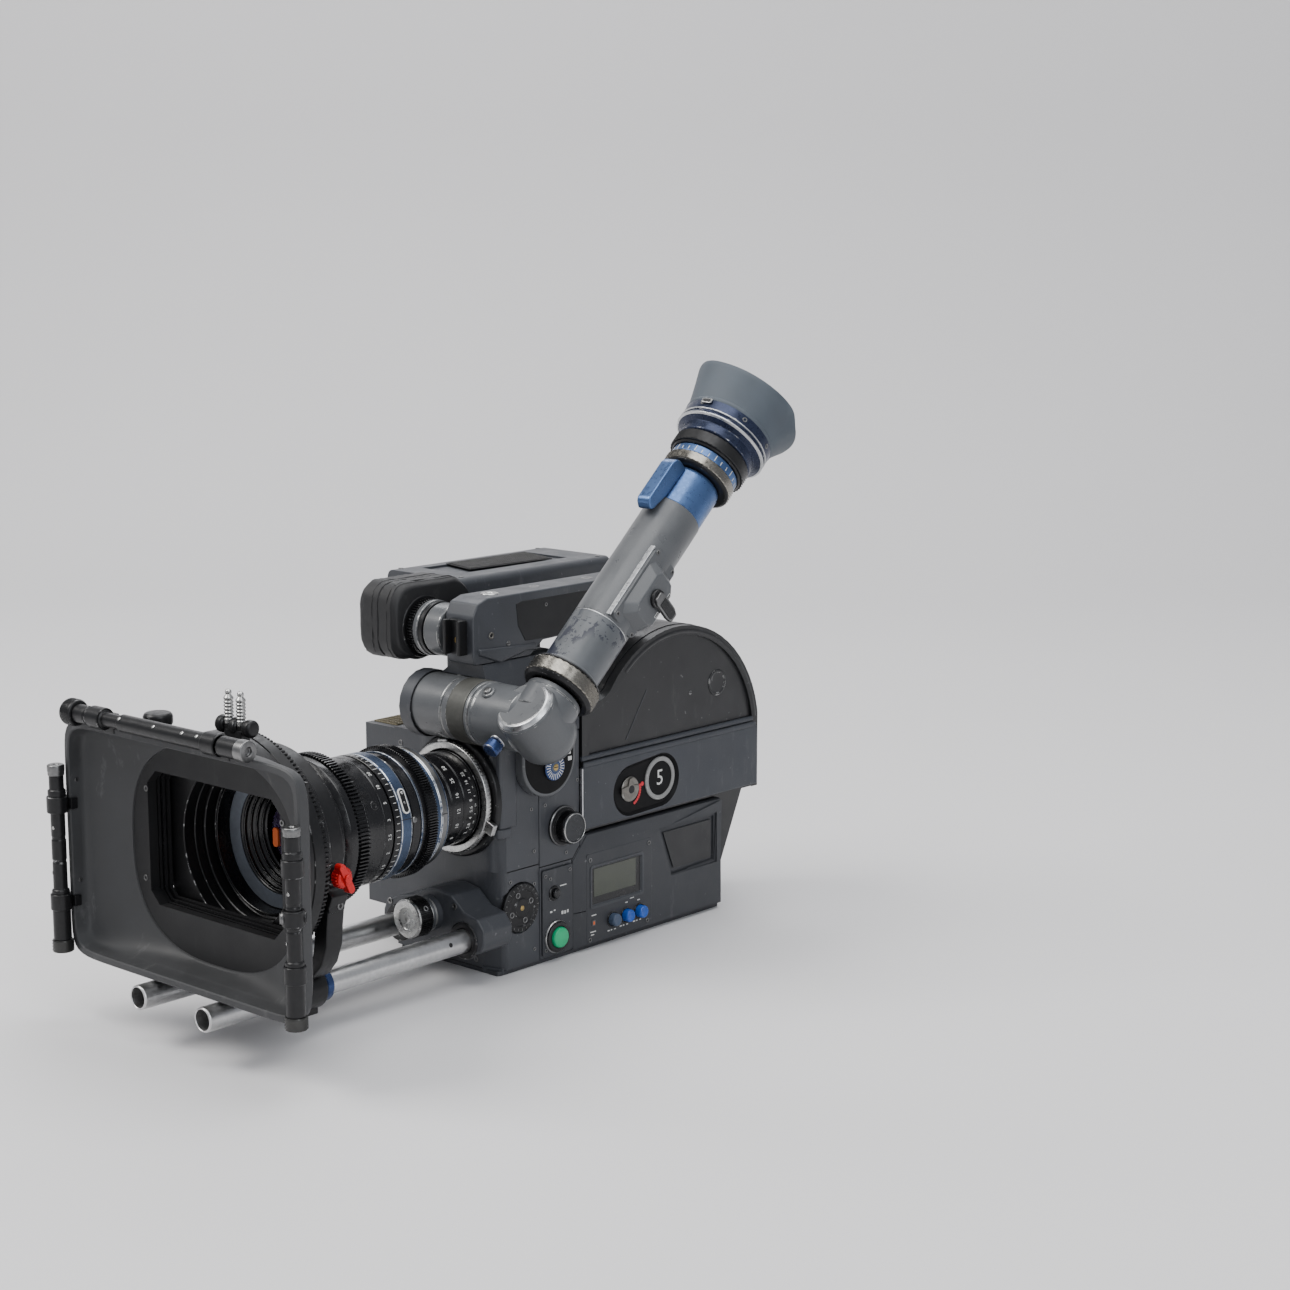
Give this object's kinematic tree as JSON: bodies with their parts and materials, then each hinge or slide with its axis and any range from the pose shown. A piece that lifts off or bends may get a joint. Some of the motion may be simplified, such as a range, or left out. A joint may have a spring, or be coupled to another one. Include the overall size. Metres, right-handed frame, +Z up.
{
  "type": "film camera rig",
  "caption": "Film movie camera with coaxial magazine, swing-out viewfinder, video assist, geared lens and a matte box on support rods.",
  "frame": {"origin": "underside of the base plate at the tripod screw line, below the lens axis", "axes": "+Z up; -Y the way the lens looks; +X the operator side with the controls and the display"},
  "size_m": [0.2304, 0.4951, 0.3848],
  "materials": {
    "body_paint": "dark blue-grey textured paint, worn at the edges",
    "light_paint": "lighter grey satin paint with chips",
    "black_metal": "black anodised, satin",
    "steel": "turned bright metal",
    "rod_metal": "satin anodised tube",
    "blue_metal": "blue anodised, glossy",
    "hood_plastic": "matt moulded plastic, scuffed",
    "black_plastic": "black moulded plastic",
    "cover_black": "near-black cover paint",
    "rubber": "grey-blue rubber",
    "glass": "coated lens glass",
    "green_button": "green button",
    "blue_button": "blue button",
    "red_metal": "red anodised",
    "film": "film stock"
  },
  "bodies": {
    "camera": {"base_plate": "black_metal", "front_housing": "body_paint", "main_housing": "body_paint", "turret_housing": "body_paint", "rear_housing": "body_paint", "side_housing": "body_paint", "lens_port_ring": "black_metal", "film_gate": "steel", "control_plate": "black_plastic", "display_panel": "body_paint", "finder_plate": "light_paint", "rod_bracket": "body_paint", "rod_far": "rod_metal", "rod_near": "rod_metal", "lens_barrel": "black_metal", "front_glass": "glass", "handle_body": "body_paint", "accessory_shoe": "black_metal", "finder_barrel": "light_paint", "video_relay_barrel": "black_metal", "video_elbow": "black_plastic", "video_camera": "body_paint"},
    "lock_ring": {"lens_lock_ring": "steel"},
    "iris": {"iris_ring": "black_metal"},
    "zoom": {"zoom_ring": "blue_metal"},
    "focus": {"focus_ring": "black_metal"},
    "shutter": {"mirror_shutter": "steel"},
    "inching": {"inching_knob": "black_metal"},
    "run": {"run_button": "green_button"},
    "test": {"test_button": "black_plastic"},
    "key_left": {"display_button_left": "black_plastic"},
    "key_middle": {"display_button_middle": "blue_button"},
    "key_right": {"display_button_right": "blue_button"},
    "phase": {"phase_knob": "body_paint"},
    "dial": {"finder_dial": "blue_metal"},
    "rod_knob": {"rod_clamp_knob": "steel"},
    "finder_lock": {"finder_lock_ring": "light_paint"},
    "finder": {"finder_elbow": "light_paint", "finder_coupling_ring": "black_metal", "finder_tube": "light_paint", "finder_sleeve": "blue_metal", "eyepiece_barrel": "black_metal", "eyecup": "rubber", "finder_side_plate": "light_paint"},
    "diopter": {"diopter_ring": "blue_metal"},
    "lever": {"finder_lever": "black_metal"},
    "assist_focus": {"video_focus_ring": "black_metal"},
    "matte_box": {"matte_hood": "hood_plastic", "filter_stage": "black_plastic", "matte_clamp": "black_metal"},
    "tray": {"filter_tray": "black_plastic"},
    "thumbscrew": {"red_thumbscrew": "red_metal"},
    "bar_far": {"flag_bar_far": "black_metal"},
    "bar_near": {"flag_bar_near": "black_metal"},
    "bar_top": {"flag_bar_top": "black_metal"},
    "magazine": {"magazine_case": "body_paint"},
    "door": {"magazine_door": "cover_black"},
    "door_lock": {"magazine_lock": "steel"},
    "feed": {"feed_roll": "film"},
    "takeup": {"takeup_roll": "film"}
  },
  "joints": [
    {"name": "lens_lock_turn", "type": "hinge", "parent": "camera", "child": "lock_ring", "pos_m": [0, -0.062, 0.1143], "axis": [0, 1, 0], "range_deg": [0, 35]},
    {"name": "iris_turn", "type": "hinge", "parent": "camera", "child": "iris", "pos_m": [0, -0.062, 0.1143], "axis": [0, 1, 0], "range_deg": [-60, 30]},
    {"name": "zoom_turn", "type": "hinge", "parent": "camera", "child": "zoom", "pos_m": [0, -0.062, 0.1143], "axis": [0, 1, 0], "range_deg": [-70, 70]},
    {"name": "focus_turn", "type": "hinge", "parent": "camera", "child": "focus", "pos_m": [0, -0.062, 0.1143], "axis": [0, 1, 0], "range_deg": [-140, 140]},
    {"name": "inching_spin", "type": "hinge", "parent": "camera", "child": "inching", "pos_m": [0, -0.0435, 0.0423], "axis": [1, 0, 0], "continuous": true},
    {"name": "shutter_spin", "type": "hinge", "parent": "camera", "child": "shutter", "pos_m": [-0.023, -0.031, 0.1143], "axis": [0, -0.7071, 0.7071], "continuous": true},
    {"name": "run_press", "type": "slide", "parent": "camera", "child": "run", "axis": [-1, 0, 0], "range_m": [0, 0.0012], "stiffness_N_per_m": 800},
    {"name": "test_press", "type": "slide", "parent": "camera", "child": "test", "axis": [-1, 0, 0], "range_m": [0, 0.001], "stiffness_N_per_m": 600},
    {"name": "key_left_press", "type": "slide", "parent": "camera", "child": "key_left", "axis": [-1, 0, 0], "range_m": [0, 0.0012], "stiffness_N_per_m": 600},
    {"name": "key_middle_press", "type": "slide", "parent": "camera", "child": "key_middle", "axis": [-1, 0, 0], "range_m": [0, 0.0012], "stiffness_N_per_m": 600},
    {"name": "key_right_press", "type": "slide", "parent": "camera", "child": "key_right", "axis": [-1, 0, 0], "range_m": [0, 0.0012], "stiffness_N_per_m": 600},
    {"name": "phase_turn", "type": "hinge", "parent": "camera", "child": "phase", "pos_m": [0, -0.0045, 0.089], "axis": [1, 0, 0], "range_deg": [-150, 150]},
    {"name": "dial_turn", "type": "hinge", "parent": "camera", "child": "dial", "pos_m": [0, -0.021, 0.132], "axis": [1, 0, 0], "range_deg": [-150, 150]},
    {"name": "rod_knob_turn", "type": "hinge", "parent": "camera", "child": "rod_knob", "pos_m": [0, -0.062, 0.042], "axis": [0, 1, 0], "range_deg": [0, 180]},
    {"name": "finder_lock_turn", "type": "hinge", "parent": "camera", "child": "finder_lock", "pos_m": [0, -0.063, 0.171], "axis": [1, 0, 0], "range_deg": [-40, 0]},
    {"name": "finder_swing", "type": "hinge", "parent": "camera", "child": "finder", "pos_m": [0, -0.063, 0.171], "axis": [1, 0, 0], "range_deg": [-20, 90]},
    {"name": "diopter_turn", "type": "hinge", "parent": "finder", "child": "diopter", "pos_m": [0.071, -0.063, 0.171], "axis": [0, 0.7373, 0.6756], "range_deg": [-120, 120]},
    {"name": "lever_turn", "type": "hinge", "parent": "finder", "child": "lever", "pos_m": [0, 0.01933, 0.24102], "axis": [1, 0, 0], "range_deg": [-40, 60]},
    {"name": "assist_focus_turn", "type": "hinge", "parent": "camera", "child": "assist_focus", "pos_m": [0, -0.056, 0.2185], "axis": [1, 0, 0], "range_deg": [-90, 90]},
    {"name": "matte_box_slide", "type": "slide", "parent": "camera", "child": "matte_box", "axis": [0, -1, 0], "range_m": [0, 0.04]},
    {"name": "tray_slide", "type": "slide", "parent": "matte_box", "child": "tray", "axis": [-1, 0, 0], "range_m": [0, 0.15]},
    {"name": "thumbscrew_turn", "type": "hinge", "parent": "matte_box", "child": "thumbscrew", "pos_m": [0, -0.221, 0.105], "axis": [1, 0, 0], "range_deg": [0, 270]},
    {"name": "bar_far_turn", "type": "hinge", "parent": "matte_box", "child": "bar_far", "pos_m": [-0.108, -0.29, 0], "axis": [0, 0, 1], "range_deg": [-90, 90]},
    {"name": "bar_near_turn", "type": "hinge", "parent": "matte_box", "child": "bar_near", "pos_m": [0.108, -0.29, 0], "axis": [0, 0, 1], "range_deg": [-90, 90]},
    {"name": "bar_top_turn", "type": "hinge", "parent": "matte_box", "child": "bar_top", "pos_m": [0, -0.29, 0.191], "axis": [1, 0, 0], "range_deg": [-90, 90]},
    {"name": "magazine_slide", "type": "slide", "parent": "camera", "child": "magazine", "axis": [0, 1, 0], "range_m": [0, 0.06]},
    {"name": "door_swing", "type": "hinge", "parent": "magazine", "child": "door", "pos_m": [0.0302, 0.1935, 0], "axis": [0, 0, 1], "range_deg": [0, 110]},
    {"name": "door_lock_turn", "type": "hinge", "parent": "door", "child": "door_lock", "pos_m": [0, 0.059, 0.102], "axis": [1, 0, 0], "range_deg": [0, 90]},
    {"name": "feed_spin", "type": "hinge", "parent": "magazine", "child": "feed", "pos_m": [0, 0.109, 0.12], "axis": [1, 0, 0], "continuous": true},
    {"name": "takeup_spin", "type": "hinge", "parent": "magazine", "child": "takeup", "pos_m": [0, 0.109, 0.12], "axis": [1, 0, 0], "continuous": true}
  ],
  "couplings": [
    {"joint": "shutter_spin", "follows": "inching_spin", "ratio": 1},
    {"joint": "feed_spin", "follows": "inching_spin", "ratio": 0.01733},
    {"joint": "takeup_spin", "follows": "inching_spin", "ratio": -0.02695}
  ]
}
